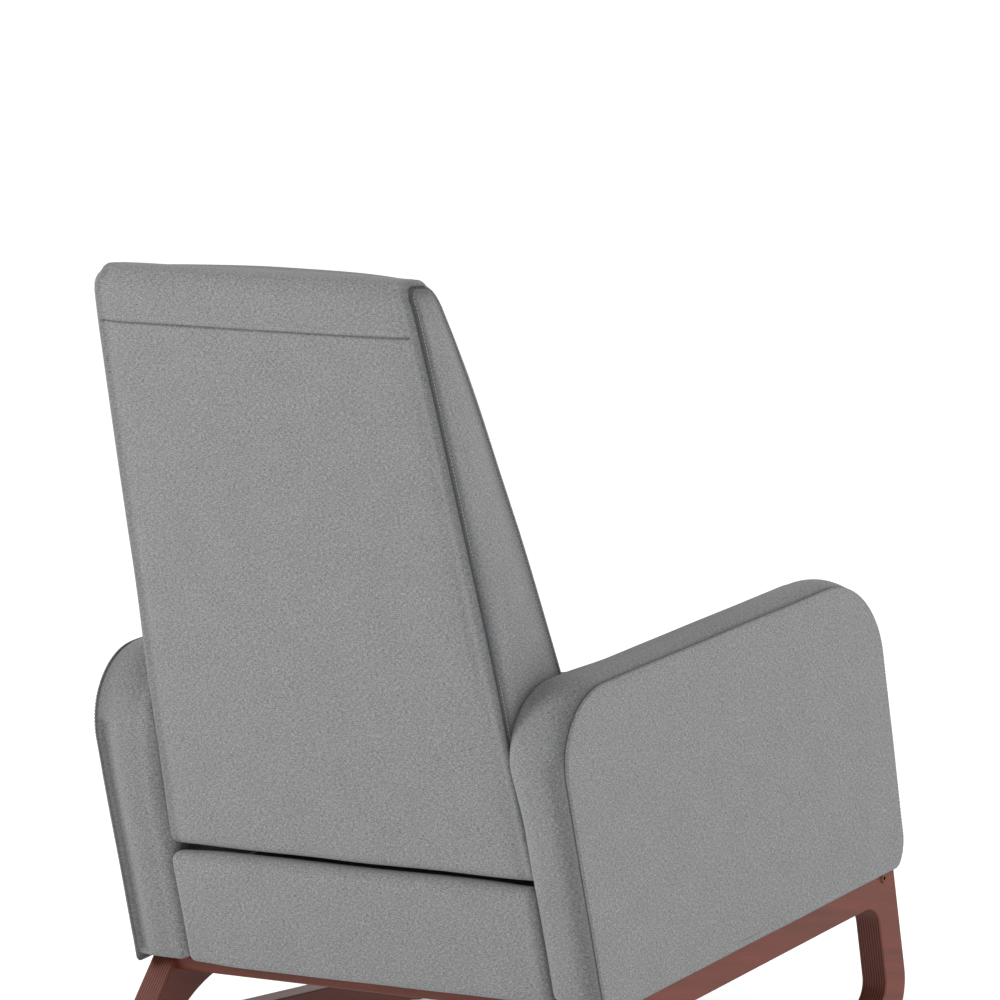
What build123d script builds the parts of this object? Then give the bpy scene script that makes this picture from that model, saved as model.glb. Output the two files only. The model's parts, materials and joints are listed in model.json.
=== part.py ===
from build123d import *
import os
from math import atan, cos, degrees, radians, sin, tan

# A nursery glider: bent wood loop frames on the floor, an upholstered seat and arms that glide on
# two hidden swings, and a padded back that reclines. Millimetres, +Z up, the sitter faces -Y.
# The origin is on the floor, in the middle of the whole chair. "left" is the sitter's left, +X.

os.makedirs("parts", exist_ok=True)

SIDES = (("left", 1), ("right", -1))

# overall
CHAIR_HALF_WIDTH = 350.0
FLOOR_GLIDE_T = 3.0

# side frames: closed loops of laminated wood
FRAME_IN = 310.0
FRAME_OUT = 346.0
RAIL_SLOPE = 8.7
RAIL_REAR = (157.0, 133.0)
RAIL_FRONT_END = -429.0
RAIL_REAR_END = 177.0
RAIL_DEPTH = 40.0
FRONT_FOOT = (-475.5, FLOOR_GLIDE_T)
REAR_FOOT = (276.6, FLOOR_GLIDE_T)
RUNNER_TOP = 45.0
WINDOW_FRONT_TOP = (-393.0, 177.2)
WINDOW_FRONT_FOOT = (-420.5, RUNNER_TOP)
WINDOW_REAR_FOOT = (184.0, RUNNER_TOP)
WINDOW_BEND_Y = 60.0

# cross rails and their fixings
CROSS_RAIL_T = 19.0
CROSS_RAIL_W = 50.0
CROSS_RAIL_DROP = 0.0
FRONT_RAIL_Y = -404.0
REAR_RAIL_Y = 153.0
FRAME_BOLT_D = 8.0
FRAME_BOLT_HEAD_D = 13.0
FRAME_BOLT_REACH = 56.0
BARREL_NUT_D = 12.0
BARREL_NUT_L = 17.0

# running gap between the fixed rails and everything that glides over them
GLIDE_GAP = 4.0

# arms
ARM_IN = 268.0
ARM_OUT = CHAIR_HALF_WIDTH
ARM_REAR_FOOT = (210.0, 129.0)
ARM_REAR_TOP = (318.0, 508.0)
ARM_FRONT_TOP = (-377.0, 597.0)
ARM_FRONT_FOOT = (-454.5, 230.0)
ARM_REAR_R = 90.0
ARM_FRONT_R = 115.0
PANEL_PAD = 6.0
BAND_T = 14.0
BOARD_T = 12.0
POST_W = 34.0

# glide: four links on two shafts
LINK_LENGTH = 160.0
LINK_IN = 294.0
LINK_OUT = 299.0
LINK_W = 34.0
SHAFT_D = 16.0
PIN_D = 12.0
BUSH_D = 18.0
RUNNING_FIT = 0.05
FRONT_SHAFT = (-250.0, 222.0)
REAR_SHAFT = (40.0, 180.0)
BRACKET_T = 5.0
BRACKET_FOOT = 92.0
BEARING_D = 22.0
HANGER_T = 4.0

# seat box
BOX_T = 22.0
BOX_FRONT = -425.0
DECK_FRONT = (-403.0, 306.0)
DECK_REAR = (181.0, 238.0)
SPRING_D = 3.6
SPRING_LOOPS = 14
SPRING_HALF_W = 21.0
SPRING_COUNT = 6
SPRING_SPACING = 74.0
DECK_PAD_T = 5.0
CUSHION_HALF_W = 261.0
CUSHION_T = 116.0

# lower rear panel and backrest share one lean
BACK_LEAN = 16.2
LOWER_PANEL_FOOT_Y = 211.0
LOWER_PANEL_TOP = 272.0
LOWER_PANEL_T = 30.0
BACK_FOOT = (244.0, 280.0)
BACK_TOP_REAR = (453.2, 1004.0)
BACK_TOP_FRONT = (388.0, 1001.0)
BACK_FACE_MID = (242.0, 708.0)
BACK_BELLY = (121.0, 395.0)
BACK_UNDERCUT = (188.0, 284.0)
BACK_HALF_W = 267.0
BACK_HALF_W_TOP = 240.0
BACK_TOP_CORNER_R = 25.0
OUTSIDE_BACK_T = 8.0
STILE_OUT = 222.0
STILE_T = 22.0
STILE_DEPTH = 30.0
RECLINE_PIVOT = (255.0, 400.0)
RECLINE_EYE_R = 14.0


def rail_z(y, above=0.0):
    """Height at y of the sloped top of the side rails, or of a line that far above it."""
    return RAIL_REAR[1] - (y - RAIL_REAR[0]) * tan(radians(RAIL_SLOPE)) + above / cos(radians(RAIL_SLOPE))


def deck_z(y, above=0.0):
    """Height at y of the line that the seat springs follow, or of one above it."""
    fall = (DECK_FRONT[1] - DECK_REAR[1]) / (DECK_REAR[0] - DECK_FRONT[0])
    return DECK_FRONT[1] - (y - DECK_FRONT[0]) * fall + above


def back_y(z, forward=0.0):
    """Where the backrest's flat rear is at height z, or a plane that far in front of it."""
    lean = radians(BACK_LEAN)
    return BACK_FOOT[0] + (z - BACK_FOOT[1]) * tan(lean) - forward / cos(lean)


def panel_y(z, forward=0.0):
    """Where the lower rear panel's rear face is at height z, or a plane in front of it."""
    lean = radians(BACK_LEAN)
    return LOWER_PANEL_FOOT_Y + (z - 128.0) * tan(lean) - forward / cos(lean)


def panel_foot(forward=0.0):
    """Where that leaning plane meets the running gap over the side rails, as (y, z)."""
    lean, slope = tan(radians(BACK_LEAN)), tan(radians(RAIL_SLOPE))
    gap = GLIDE_GAP / cos(radians(RAIL_SLOPE))
    z = RAIL_REAR[1] + gap - (panel_y(0.0, forward) - RAIL_REAR[0]) * slope
    z /= 1 + lean * slope
    return (panel_y(z, forward), z)


def across(sign, near, far):
    """Side-view sketch plane for a slab from near to far of the middle, on one side."""
    return Plane.YZ.offset(near if sign > 0 else -far)


def save(part, name):
    """Label a finished piece and write it."""
    part.label = name
    export_step(part, f"parts/{name}.step")


def round_corner(corner, radius):
    """Round the corner of the sketch in progress that lies nearest to a point."""
    fillet(vertices().sort_by_distance(corner)[0], radius)


def arm_outline(inset=0.0):
    """Side view of an arm in the sketch in progress, drawn in by inset."""
    Polygon(ARM_REAR_FOOT, ARM_REAR_TOP, ARM_FRONT_TOP, ARM_FRONT_FOOT, align=None)
    round_corner(ARM_REAR_TOP, ARM_REAR_R)
    round_corner(ARM_FRONT_TOP, ARM_FRONT_R)
    round_corner(ARM_FRONT_FOOT, 25.0)
    round_corner(ARM_REAR_FOOT, 12.0)
    if inset:
        offset(amount=-inset)


def open_foot(reach):
    """Area under an arm's lower edge, raised by reach, to cut a closed outline open below."""
    near, far = ARM_FRONT_FOOT[0] - 30, ARM_REAR_FOOT[0] + 30
    Polygon(
        (near, rail_z(near, reach)),
        (far, rail_z(far, reach)),
        (far, 60),
        (near, 60),
        align=None,
        mode=Mode.SUBTRACT,
    )


# ---------------------------------------------------------------- base
FRAME_JOINTS = [(y, rail_z(y, -CROSS_RAIL_DROP - CROSS_RAIL_T / 2)) for y in (FRONT_RAIL_Y, REAR_RAIL_Y)]
BRACKET_BOLT_STEP = 28.0
BOLT_STEPS = (-BRACKET_BOLT_STEP, BRACKET_BOLT_STEP)
BRACKET_BOLT_Y = [y + step for y, _ in (FRONT_SHAFT, REAR_SHAFT) for step in BOLT_STEPS]
BRACKET_BOLTS = [(y, rail_z(y, -RAIL_DEPTH / 2)) for y in BRACKET_BOLT_Y]


def side_frame(sign):
    """A closed loop: sloped rail, raked front leg, floor runner and a splayed, curved rear leg."""
    with BuildPart() as frame:
        with BuildSketch(across(sign, FRAME_IN, FRAME_OUT)):
            with BuildLine():
                Polyline(
                    (RAIL_FRONT_END, rail_z(RAIL_FRONT_END)),
                    (RAIL_REAR_END, rail_z(RAIL_REAR_END)),
                    REAR_FOOT,
                    FRONT_FOOT,
                    close=True,
                )
            make_face()
            round_corner((RAIL_FRONT_END, rail_z(RAIL_FRONT_END)), 6.0)
            round_corner((RAIL_REAR_END, rail_z(RAIL_REAR_END)), 6.0)
            round_corner(REAR_FOOT, 25.0)
            round_corner(FRONT_FOOT, 72.0)
            with BuildSketch(mode=Mode.PRIVATE) as window:
                bend = (WINDOW_BEND_Y, rail_z(WINDOW_BEND_Y, -RAIL_DEPTH))
                with BuildLine():
                    Polyline(bend, WINDOW_FRONT_TOP, WINDOW_FRONT_FOOT, WINDOW_REAR_FOOT)
                    along_rail = (cos(radians(RAIL_SLOPE)), -sin(radians(RAIL_SLOPE)))
                    TangentArc(bend, WINDOW_REAR_FOOT, tangent=along_rail)
                make_face()
                round_corner(WINDOW_FRONT_TOP, 28.0)
                round_corner(WINDOW_FRONT_FOOT, 30.0)
                round_corner(WINDOW_REAR_FOOT, 12.0)
            add(window.sketch, mode=Mode.SUBTRACT)
        extrude(amount=FRAME_OUT - FRAME_IN)
        rims = frame.faces().filter_by(Axis.X).edges()
        fillet(rims, 2.0)
        with Locations(*[Pos(0, y, z) for y, z in FRAME_JOINTS]):
            Cylinder(FRAME_BOLT_D / 2, 2 * CHAIR_HALF_WIDTH, rotation=(0, 90, 0), mode=Mode.SUBTRACT)
        with BuildSketch(Plane.YZ.offset(sign * FRAME_IN)):
            with Locations(*BRACKET_BOLTS):
                Circle(FRAME_BOLT_D / 2)
        extrude(amount=sign * 28.0, mode=Mode.SUBTRACT)
    return frame.part


def cross_rail(y):
    """A flat board between the side frames, lying along their slope, drilled for bolt and nut."""
    z = rail_z(y, -CROSS_RAIL_DROP - CROSS_RAIL_T / 2)
    slope_up = (0, sin(radians(RAIL_SLOPE)), cos(radians(RAIL_SLOPE)))
    with BuildPart(Plane(origin=(0, y, z), x_dir=(1, 0, 0), z_dir=slope_up)) as rail:
        Box(2 * FRAME_IN, CROSS_RAIL_W, CROSS_RAIL_T)
        fillet(rail.edges().filter_by(Axis.X), 3.0)
        Cylinder(FRAME_BOLT_D / 2, 2 * FRAME_IN, rotation=(0, 90, 0), mode=Mode.SUBTRACT)
        with Locations((FRAME_IN - 42, 0, 0), (42 - FRAME_IN, 0, 0)):
            Cylinder(BARREL_NUT_D / 2, CROSS_RAIL_T, mode=Mode.SUBTRACT)
        Box(2 * (FRAME_IN - FRAME_BOLT_REACH), FRAME_BOLT_D, FRAME_BOLT_D, mode=Mode.ADD)
    return rail.part


for side, sign in SIDES:
    save(side_frame(sign), f"side_frame_{side}")

save(cross_rail(FRONT_RAIL_Y), "front_cross_rail")
save(cross_rail(REAR_RAIL_Y), "rear_cross_rail")

with BuildPart() as frame_bolts:
    for _, sign in SIDES:
        with BuildSketch(across(sign, FRAME_IN - FRAME_BOLT_REACH, FRAME_OUT)):
            with Locations(*FRAME_JOINTS):
                Circle(FRAME_BOLT_D / 2)
        extrude(amount=FRAME_OUT - FRAME_IN + FRAME_BOLT_REACH)
        with BuildSketch(Plane.YZ.offset(sign * FRAME_OUT)):
            with Locations(*FRAME_JOINTS):
                Circle(FRAME_BOLT_HEAD_D / 2)
        extrude(amount=sign * 2.5, taper=25)
        with BuildSketch(Plane.YZ.offset(sign * (FRAME_OUT + 2.5))):
            with Locations(*FRAME_JOINTS):
                RegularPolygon(2.5, 6)
        extrude(amount=-sign * 2.0, mode=Mode.SUBTRACT)
save(frame_bolts.part, "frame_bolts")

slope_up = (0, sin(radians(RAIL_SLOPE)), cos(radians(RAIL_SLOPE)))
with BuildPart() as barrel_nuts:
    for y, z in FRAME_JOINTS:
        for _, sign in SIDES:
            spot = Plane(origin=(sign * (FRAME_IN - 42), y, z), x_dir=(1, 0, 0), z_dir=slope_up)
            with BuildSketch(spot.offset(-BARREL_NUT_L / 2)):
                Circle(BARREL_NUT_D / 2)
            extrude(amount=BARREL_NUT_L)
    with Locations(*[Pos(0, y, z) for y, z in FRAME_JOINTS]):
        Cylinder(FRAME_BOLT_D / 2, 2 * FRAME_IN, rotation=(0, 90, 0), mode=Mode.SUBTRACT)
save(barrel_nuts.part, "barrel_nuts")

with BuildPart() as floor_glides:
    with BuildSketch():
        for x in (-(FRAME_IN + FRAME_OUT) / 2, (FRAME_IN + FRAME_OUT) / 2):
            with Locations((x, -355.0), (x, 190.0)):
                SlotOverall(44.0, 24.0, rotation=90)
    extrude(amount=FLOOR_GLIDE_T)
save(floor_glides.part, "floor_glides")


def upper_pivot(shaft):
    """The fixed pivot that hangs straight above a shaft."""
    return (shaft[0], shaft[1] + LINK_LENGTH)


def glide_brackets(sign):
    """Front and rear steel plates that stand on a side rail, inside the hollow arm."""
    with BuildPart() as plates:
        for shaft in (FRONT_SHAFT, REAR_SHAFT):
            y = shaft[0]
            near, far = y - BRACKET_FOOT / 2, y + BRACKET_FOOT / 2
            with BuildSketch(across(sign, FRAME_IN - BRACKET_T, FRAME_IN)):
                with BuildLine():
                    Polyline(
                        (near, rail_z(near, 3 - RAIL_DEPTH)),
                        (far, rail_z(far, 3 - RAIL_DEPTH)),
                        (far, rail_z(far, 6)),
                        (near, rail_z(near, 6)),
                        close=True,
                    )
                make_face()
                with Locations(upper_pivot(shaft)):
                    Circle(18.0)
                make_hull()
                with Locations(upper_pivot(shaft)):
                    Circle(PIN_D / 2, mode=Mode.SUBTRACT)
                with Locations(*BRACKET_BOLTS):
                    Circle(FRAME_BOLT_D / 2, mode=Mode.SUBTRACT)
            extrude(amount=BRACKET_T)
    return plates.part


for side, sign in SIDES:
    save(glide_brackets(sign), f"glide_brackets_{side}")

with BuildPart() as bracket_bolts:
    for _, sign in SIDES:
        plate_face = FRAME_IN - BRACKET_T
        with BuildSketch(Plane.YZ.offset(sign * plate_face)):
            with Locations(*BRACKET_BOLTS):
                Circle(FRAME_BOLT_D / 2)
        extrude(amount=sign * 31.0)
        with BuildSketch(Plane.YZ.offset(sign * plate_face)):
            with Locations(*BRACKET_BOLTS):
                RegularPolygon(7.0, 6)
        extrude(amount=-sign * 4.0)
save(bracket_bolts.part, "bracket_bolts")

with BuildPart() as upper_pivot_pins:
    tops = [upper_pivot(FRONT_SHAFT), upper_pivot(REAR_SHAFT)]
    for _, sign in SIDES:
        for near, far, radius in (
            (LINK_IN - 3.0, FRAME_IN, PIN_D / 2),
            (LINK_IN - 5.5, LINK_IN - 2.0, 10.0),
            (LINK_OUT + 1.5, FRAME_IN - BRACKET_T, 10.0),
            (FRAME_IN, FRAME_IN + 3.0, 10.0),
        ):
            with BuildSketch(across(sign, near, far)):
                with Locations(*tops):
                    Circle(radius)
            extrude(amount=far - near)
save(upper_pivot_pins.part, "upper_pivot_pins")


# ---------------------------------------------------------------- swings
def swing_links(shaft):
    """The left and right links of one swing, welded to the ends of its shaft."""
    with BuildPart() as links:
        for _, sign in SIDES:
            with BuildSketch(across(sign, LINK_IN, LINK_OUT)):
                with Locations((shaft[0], shaft[1] + LINK_LENGTH / 2)):
                    SlotCenterToCenter(LINK_LENGTH, LINK_W, rotation=90)
                with Locations(upper_pivot(shaft)):
                    Circle(BUSH_D / 2, mode=Mode.SUBTRACT)
            extrude(amount=LINK_OUT - LINK_IN)
    return links.part


def pivot_shaft(shaft):
    """The bar across the chair that the seat hangs on."""
    with BuildPart() as bar:
        with BuildSketch(Plane.YZ.offset(-LINK_IN)):
            with Locations(shaft):
                Circle(SHAFT_D / 2)
        extrude(amount=2 * LINK_IN)
    return bar.part


def link_bushings(shaft):
    """Nylon sleeves in the tops of a swing's links."""
    with BuildPart() as sleeves:
        for _, sign in SIDES:
            with BuildSketch(across(sign, LINK_IN - 1.0, LINK_OUT + 1.0)):
                with Locations(upper_pivot(shaft)):
                    Circle(BUSH_D / 2)
                    Circle(PIN_D / 2 + RUNNING_FIT, mode=Mode.SUBTRACT)
            extrude(amount=LINK_OUT - LINK_IN + 2.0)
    return sleeves.part


for place, shaft in (("front", FRONT_SHAFT), ("rear", REAR_SHAFT)):
    save(swing_links(shaft), f"{place}_swing_links")
    save(pivot_shaft(shaft), f"{place}_pivot_shaft")
    save(link_bushings(shaft), f"{place}_link_bushings")

# ---------------------------------------------------------------- seat box
SHAFTS = [FRONT_SHAFT, REAR_SHAFT]
BOARD_IN = ARM_IN + PANEL_PAD
ARM_BOLTS = [(-335.0, 262.0), (-125.0, 232.0), (88.0, 208.0)]


def seat_side_rail(sign):
    """A solid wood rail under each arm, with the seat's slope above and the base's below."""
    with BuildPart() as rail:
        with BuildSketch(across(sign, ARM_IN - BOX_T, ARM_IN)):
            with BuildLine():
                Polyline(
                    (BOX_FRONT, rail_z(BOX_FRONT, GLIDE_GAP)),
                    panel_foot(LOWER_PANEL_T),
                    (panel_y(236.0, LOWER_PANEL_T), 236.0),
                    (BOX_FRONT, deck_z(BOX_FRONT)),
                    close=True,
                )
            make_face()
            with Locations(*SHAFTS):
                Circle(SHAFT_D / 2 + 4.0, mode=Mode.SUBTRACT)
            with Locations(*ARM_BOLTS):
                Circle(FRAME_BOLT_D / 2, mode=Mode.SUBTRACT)
        extrude(amount=BOX_T)
    return rail.part


for side, sign in SIDES:
    save(seat_side_rail(sign), f"seat_side_rail_{side}")

BOX_HALF_W = ARM_IN - BOX_T

with BuildPart() as seat_front_rail:
    with BuildSketch(Plane.YZ.offset(-BOX_HALF_W)):
        inner_y = BOX_FRONT + BOX_T
        with BuildLine():
            Polyline(
                (BOX_FRONT, rail_z(BOX_FRONT, GLIDE_GAP)),
                (inner_y, rail_z(inner_y, GLIDE_GAP)),
                (inner_y, deck_z(inner_y)),
                (BOX_FRONT, deck_z(BOX_FRONT)),
                close=True,
            )
        make_face()
    extrude(amount=2 * BOX_HALF_W)
save(seat_front_rail.part, "seat_front_rail")

with BuildPart() as seat_back_rail:
    with BuildSketch(Plane.YZ.offset(-BOX_HALF_W)):
        rear_top, front_top = panel_y(236.0, LOWER_PANEL_T), panel_y(236.0, LOWER_PANEL_T + 20.0)
        with BuildLine():
            Polyline(
                panel_foot(LOWER_PANEL_T + 20.0),
                panel_foot(LOWER_PANEL_T),
                (rear_top, 236.0),
                (front_top, 236.0),
                close=True,
            )
        make_face()
    extrude(amount=2 * BOX_HALF_W)
save(seat_back_rail.part, "seat_back_rail")

with BuildPart() as corner_blocks:
    leg = 55.0
    front_y, rear_y = BOX_FRONT + BOX_T, panel_y(150.0, LOWER_PANEL_T + 20.0)
    for _, sign in SIDES:
        x = sign * BOX_HALF_W
        for y, toward, z in ((front_y, 1, 250.0), (rear_y, -1, 150.0)):
            with BuildSketch(Plane.XY.offset(z)):
                with BuildLine():
                    Polyline((x, y), (x - sign * leg, y), (x, y + toward * leg), close=True)
                make_face()
            extrude(amount=40.0)
    with BuildSketch(Plane.YZ.offset(-BOX_HALF_W)):
        with BuildLine():
            Polyline(
                (panel_y(120, LOWER_PANEL_T + 20.5), 120),
                (panel_y(210, LOWER_PANEL_T + 20.5), 210),
                (panel_y(210), 210),
                (panel_y(120), 120),
                close=True,
            )
        make_face()
    extrude(amount=2 * BOX_HALF_W, mode=Mode.SUBTRACT)
save(corner_blocks.part, "corner_blocks")

run = DECK_REAR[0] - DECK_FRONT[0]
fall_angle = degrees(atan((DECK_FRONT[1] - DECK_REAR[1]) / run))
deck_run = run / cos(radians(fall_angle)) - 2 * SPRING_D
deck_plane = Plane(
    origin=(0, DECK_FRONT[0], DECK_FRONT[1]),
    x_dir=(0, cos(radians(fall_angle)), -sin(radians(fall_angle))),
    z_dir=(0, sin(radians(fall_angle)), cos(radians(fall_angle))),
)

with BuildPart() as one_spring:
    pitch = deck_run / SPRING_LOOPS
    corners = [(SPRING_D, 0.0)]
    for loop in range(SPRING_LOOPS):
        reach = SPRING_HALF_W if loop % 2 else -SPRING_HALF_W
        corners += [(SPRING_D + (loop + 0.25) * pitch, reach), (SPRING_D + (loop + 0.75) * pitch, reach)]
    corners.append((SPRING_D + deck_run, 0.0))
    with BuildLine(deck_plane.offset(-SPRING_D)) as wire:
        FilletPolyline(*corners, radius=pitch * 0.22)
    with BuildSketch(Plane(origin=wire.line @ 0, z_dir=wire.line % 0)):
        Circle(SPRING_D / 2)
    sweep(path=wire.line)

with BuildPart() as seat_springs:
    with Locations(*[((i - (SPRING_COUNT - 1) / 2) * SPRING_SPACING, 0, 0) for i in range(SPRING_COUNT)]):
        add(one_spring.part)
save(seat_springs.part, "seat_springs")

with BuildPart() as seat_deck:
    with BuildSketch(Plane.YZ.offset(-BOX_HALF_W + 2)):
        near, far = BOX_FRONT + 4, DECK_REAR[0] - 6
        with BuildLine():
            Polyline(
                (near, deck_z(near, 0.5)),
                (far, deck_z(far, 0.5)),
                (far, deck_z(far, 0.5 + DECK_PAD_T)),
                (near, deck_z(near, 0.5 + DECK_PAD_T)),
                close=True,
            )
        make_face()
    extrude(amount=2 * BOX_HALF_W - 4)
save(seat_deck.part, "seat_deck")

with BuildPart() as dust_cover:
    with BuildSketch(Plane.YZ.offset(-BOX_HALF_W + 1)):
        near, far = BOX_FRONT + BOX_T + 1, panel_y(137.0, LOWER_PANEL_T + 22.0)
        with BuildLine():
            Polyline(
                (near, rail_z(near, GLIDE_GAP)),
                (far, rail_z(far, GLIDE_GAP)),
                (far, rail_z(far, GLIDE_GAP + 1.5)),
                (near, rail_z(near, GLIDE_GAP + 1.5)),
                close=True,
            )
        make_face()
    extrude(amount=2 * BOX_HALF_W - 2)
save(dust_cover.part, "dust_cover")

with BuildPart() as hanger_plates:
    for _, sign in SIDES:
        for y, z in SHAFTS:
            with BuildSketch(across(sign, BOARD_IN + BOARD_T, BOARD_IN + BOARD_T + HANGER_T)):
                with Locations((y, z + 22.0)):
                    SlotOverall(88.0, 40.0, rotation=90)
                with Locations((y, z)):
                    Circle(BEARING_D / 2, mode=Mode.SUBTRACT)
            extrude(amount=HANGER_T)
save(hanger_plates.part, "hanger_plates")

with BuildPart() as shaft_bearings:
    for _, sign in SIDES:
        with BuildSketch(across(sign, BOARD_IN, BOARD_IN + BOARD_T + HANGER_T + 1)):
            with Locations(*SHAFTS):
                Circle(BEARING_D / 2)
                Circle(SHAFT_D / 2 + RUNNING_FIT, mode=Mode.SUBTRACT)
        extrude(amount=BOARD_T + HANGER_T + 1)
save(shaft_bearings.part, "shaft_bearings")

with BuildPart() as arm_bolts:
    for _, sign in SIDES:
        with BuildSketch(across(sign, BOX_HALF_W, BOARD_IN + BOARD_T)):
            with Locations(*ARM_BOLTS):
                Circle(FRAME_BOLT_D / 2)
        extrude(amount=BOARD_IN + BOARD_T - BOX_HALF_W)
        with BuildSketch(across(sign, BOX_HALF_W - 4.0, BOX_HALF_W)):
            with Locations(*ARM_BOLTS):
                RegularPolygon(7.0, 6)
        extrude(amount=4.0)
save(arm_bolts.part, "arm_bolts")

with BuildPart() as seat_cushion:
    front_foot, rear_foot = (-437.0, deck_z(-437.0, 6.0)), (107.0, deck_z(107.0, 6.0))
    front_top, rear_top = (-430.0, deck_z(-430.0, 6.0 + CUSHION_T)), (104.0, deck_z(104.0, 4.0 + CUSHION_T))
    with BuildSketch(Plane.YZ.offset(-CUSHION_HALF_W)):
        with BuildLine():
            Polyline(front_foot, rear_foot, rear_top, front_top, close=True)
        make_face()
        round_corner(front_top, 42.0)
        round_corner(rear_top, 26.0)
        round_corner(front_foot, 20.0)
        round_corner(rear_foot, 20.0)
    extrude(amount=2 * CUSHION_HALF_W)
    fillet(seat_cushion.faces().filter_by(Axis.X).edges(), 16.0)
save(seat_cushion.part, "seat_cushion")

with BuildPart() as front_apron:
    apron_half = ARM_IN - 2.0
    with BuildSketch(Plane.YZ.offset(-apron_half)):
        with BuildLine():
            Polyline(
                (BOX_FRONT, rail_z(BOX_FRONT, GLIDE_GAP)),
                (-448.0, rail_z(-448.0, GLIDE_GAP)),
                (-443.0, deck_z(BOX_FRONT) + 3.0),
                (BOX_FRONT, deck_z(BOX_FRONT) + 3.0),
                close=True,
            )
        make_face()
        round_corner((-448.0, rail_z(-448.0, GLIDE_GAP)), 10.0)
        round_corner((-443.0, deck_z(BOX_FRONT) + 3.0), 10.0)
    extrude(amount=2 * apron_half)
save(front_apron.part, "front_apron")

with BuildPart() as lower_rear_panel:
    panel_half = ARM_IN - 1.0
    top_front, top_rear = panel_y(LOWER_PANEL_TOP, LOWER_PANEL_T), panel_y(LOWER_PANEL_TOP)
    foot = panel_foot()
    with BuildSketch(Plane.YZ.offset(-panel_half)):
        with BuildLine():
            Polyline(
                panel_foot(LOWER_PANEL_T),
                foot,
                (top_rear, LOWER_PANEL_TOP),
                (top_front, LOWER_PANEL_TOP),
                close=True,
            )
        make_face()
        round_corner(foot, 10.0)
        round_corner((top_rear, LOWER_PANEL_TOP), 13.0)
        round_corner((top_front, LOWER_PANEL_TOP), 8.0)
    extrude(amount=2 * panel_half)
save(lower_rear_panel.part, "lower_rear_panel")


# ---------------------------------------------------------------- arms
def arm_panel(sign, near, far, bores=()):
    """A padded side of an arm, with any bores through it as (place, radius)."""
    with BuildPart() as panel:
        with BuildSketch(across(sign, near, far)):
            arm_outline(1.0)
            for place, radius in bores:
                with Locations(place):
                    Circle(radius, mode=Mode.SUBTRACT)
        extrude(amount=far - near)
    return panel.part


def arm_board(sign, near, bores=()):
    """A plywood side of the arm's hollow frame."""
    with BuildPart() as board:
        with BuildSketch(across(sign, near, near + BOARD_T)):
            arm_outline(BAND_T)
            for place, radius in bores:
                with Locations(place):
                    Circle(radius, mode=Mode.SUBTRACT)
        extrude(amount=BOARD_T)
    return board.part


def arm_band(sign):
    """The padded strip that wraps the rear, top and front of an arm, open below."""
    with BuildPart() as band:
        with BuildSketch(across(sign, BOARD_IN, ARM_OUT - PANEL_PAD)):
            arm_outline()
            with BuildSketch(mode=Mode.PRIVATE) as hollow:
                arm_outline(BAND_T)
            add(hollow.sketch, mode=Mode.SUBTRACT)
            open_foot(GLIDE_GAP + BAND_T)
        extrude(amount=ARM_OUT - PANEL_PAD - BOARD_IN)
    return band.part


def arm_post(sign, near_y, far_y, low, high):
    """An upright between an arm's boards, trimmed to the arm's outline."""
    with BuildPart() as post:
        with BuildSketch(across(sign, BOARD_IN + BOARD_T, ARM_OUT - PANEL_PAD - BOARD_T)):
            arm_outline(BAND_T)
            Polygon(
                (near_y[0], low),
                (far_y[0], low),
                (far_y[1], high),
                (near_y[1], high),
                align=None,
                mode=Mode.INTERSECT,
            )
        extrude(amount=ARM_OUT - ARM_IN - 2 * PANEL_PAD - 2 * BOARD_T)
    return post.part


SHAFT_CLEARANCE = [(place, SHAFT_D / 2 + 4.0) for place in SHAFTS]
BEARING_BORES = [(place, BEARING_D / 2) for place in SHAFTS]
BOLT_BORES = [(place, FRAME_BOLT_D / 2) for place in ARM_BOLTS]
PIN_BORE = [(RECLINE_PIVOT, PIN_D / 2)]

for side, sign in SIDES:
    inner_bores = SHAFT_CLEARANCE + BOLT_BORES + PIN_BORE
    save(arm_panel(sign, ARM_OUT - PANEL_PAD, ARM_OUT), f"arm_outer_panel_{side}")
    save(arm_panel(sign, ARM_IN, BOARD_IN, inner_bores), f"arm_inner_panel_{side}")
    save(arm_board(sign, BOARD_IN, BEARING_BORES + BOLT_BORES + PIN_BORE), f"arm_inner_board_{side}")
    save(arm_board(sign, ARM_OUT - PANEL_PAD - BOARD_T), f"arm_outer_board_{side}")
    save(arm_band(sign), f"arm_band_{side}")
    save(arm_post(sign, (-470, -395), (-425 + POST_W, -355 + POST_W), 245.0, 500.0), f"arm_front_post_{side}")
    save(arm_post(sign, (150, 215), (320, 320), 160.0, 385.0), f"arm_rear_post_{side}")
    with BuildPart() as top_rail:
        with BuildSketch(across(sign, BOARD_IN + BOARD_T, ARM_OUT - PANEL_PAD - BOARD_T)):
            arm_outline(BAND_T)
            Polygon((-310, 100), (-310, 546), (200, 480), (200, 100), align=None, mode=Mode.SUBTRACT)
            Polygon((-600, 100), (-600, 700), (-310, 700), (-310, 100), align=None, mode=Mode.SUBTRACT)
            Polygon((200, 100), (200, 700), (500, 700), (500, 100), align=None, mode=Mode.SUBTRACT)
        extrude(amount=ARM_OUT - ARM_IN - 2 * PANEL_PAD - 2 * BOARD_T)
    save(top_rail.part, f"arm_top_rail_{side}")

with BuildPart() as recline_pins:
    for _, sign in SIDES:
        head_from = BOARD_IN + BOARD_T
        for near, far, radius in ((STILE_OUT - 12.0, head_from, PIN_D / 2), (head_from, head_from + 4, 10.0)):
            with BuildSketch(across(sign, near, far)):
                with Locations(RECLINE_PIVOT):
                    Circle(radius)
            extrude(amount=far - near)
save(recline_pins.part, "recline_pins")


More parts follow.
